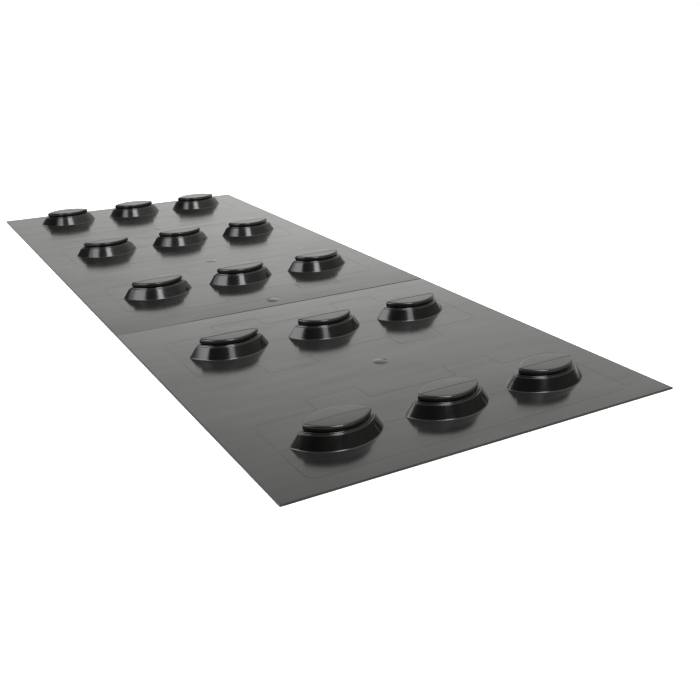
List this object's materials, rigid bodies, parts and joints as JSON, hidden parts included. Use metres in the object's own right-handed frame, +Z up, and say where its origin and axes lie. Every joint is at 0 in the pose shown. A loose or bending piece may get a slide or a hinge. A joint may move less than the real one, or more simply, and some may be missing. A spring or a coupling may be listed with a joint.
{
  "type": "seedling heat mat",
  "caption": "Flat folding heated mat for seed trays: thin glossy panels joined at a fold, carrying rows of lens-shaped studs, each a flared hollow body with a flat-topped cap.",
  "frame": {"origin": "on the ground plane, under the centre of the flat mat's outline", "axes": "+Y along the mat's length towards the end with the supply socket, +Z up, +X to the right when looking along +Y"},
  "size_m": [0.53, 1.406, 0.0278],
  "materials": {
    "cover": "satin gloss, moulded",
    "underside": "matt",
    "stud": "glossy, moulded",
    "stud_cap": "satin gloss, moulded",
    "clamp_button": "satin gloss, moulded",
    "insulation": "foam",
    "heating_foil": "rolled foil",
    "jumper": "rolled copper strip",
    "fold_tape": "woven tape",
    "socket": "moulded",
    "terminal_block": "moulded",
    "lead_black": "matt sheath",
    "lead_red": "matt sheath",
    "small_metal": "nickel plated"
  },
  "bodies": {
    "far_panel": {"far_bottom_cover": "underside", "far_insulation_layer": "insulation", "far_top_cover": "cover", "far_heater_left": "heating_foil", "far_heater_right": "heating_foil", "fold_strip_far": "fold_tape", "jumper_left_far": "jumper", "jumper_right_far": "jumper", "clamp_button_far_1": "clamp_button", "clamp_button_far_2": "clamp_button", "clamp_button_far_3": "clamp_button", "supply_socket": "socket", "supply_socket_pin": "small_metal", "terminal_block": "terminal_block", "terminal_screw_left": "small_metal", "terminal_screw_right": "small_metal", "supply_lead_left": "lead_black", "supply_lead_right": "lead_red", "thermal_cutout": "small_metal", "stud_body_r1c1": "stud", "stud_cap_r1c1": "stud_cap", "stud_body_r1c2": "stud", "stud_cap_r1c2": "stud_cap", "stud_body_r1c3": "stud", "stud_cap_r1c3": "stud_cap", "stud_body_r2c1": "stud", "stud_cap_r2c1": "stud_cap", "stud_body_r2c2": "stud", "stud_cap_r2c2": "stud_cap", "stud_body_r2c3": "stud", "stud_cap_r2c3": "stud_cap", "stud_body_r3c1": "stud", "stud_cap_r3c1": "stud_cap", "stud_body_r3c2": "stud", "stud_cap_r3c2": "stud_cap", "stud_body_r3c3": "stud", "stud_cap_r3c3": "stud_cap"},
    "near_panel": {"near_bottom_cover": "underside", "near_insulation_layer": "insulation", "near_top_cover": "cover", "near_heater": "heating_foil", "fold_strip_near": "fold_tape", "jumper_left_near": "jumper", "jumper_right_near": "jumper", "clamp_button_near_1": "clamp_button", "stud_body_r4c1": "stud", "stud_cap_r4c1": "stud_cap", "stud_body_r4c2": "stud", "stud_cap_r4c2": "stud_cap", "stud_body_r4c3": "stud", "stud_cap_r4c3": "stud_cap", "stud_body_r5c1": "stud", "stud_cap_r5c1": "stud_cap", "stud_body_r5c2": "stud", "stud_cap_r5c2": "stud_cap", "stud_body_r5c3": "stud", "stud_cap_r5c3": "stud_cap"}
  },
  "joints": [
    {"name": "panel_fold", "type": "hinge", "parent": "far_panel", "child": "near_panel", "pos_m": [0, -0.158, -0.00025], "axis": [1, 0, 0], "range_deg": [0, 180]}
  ]
}
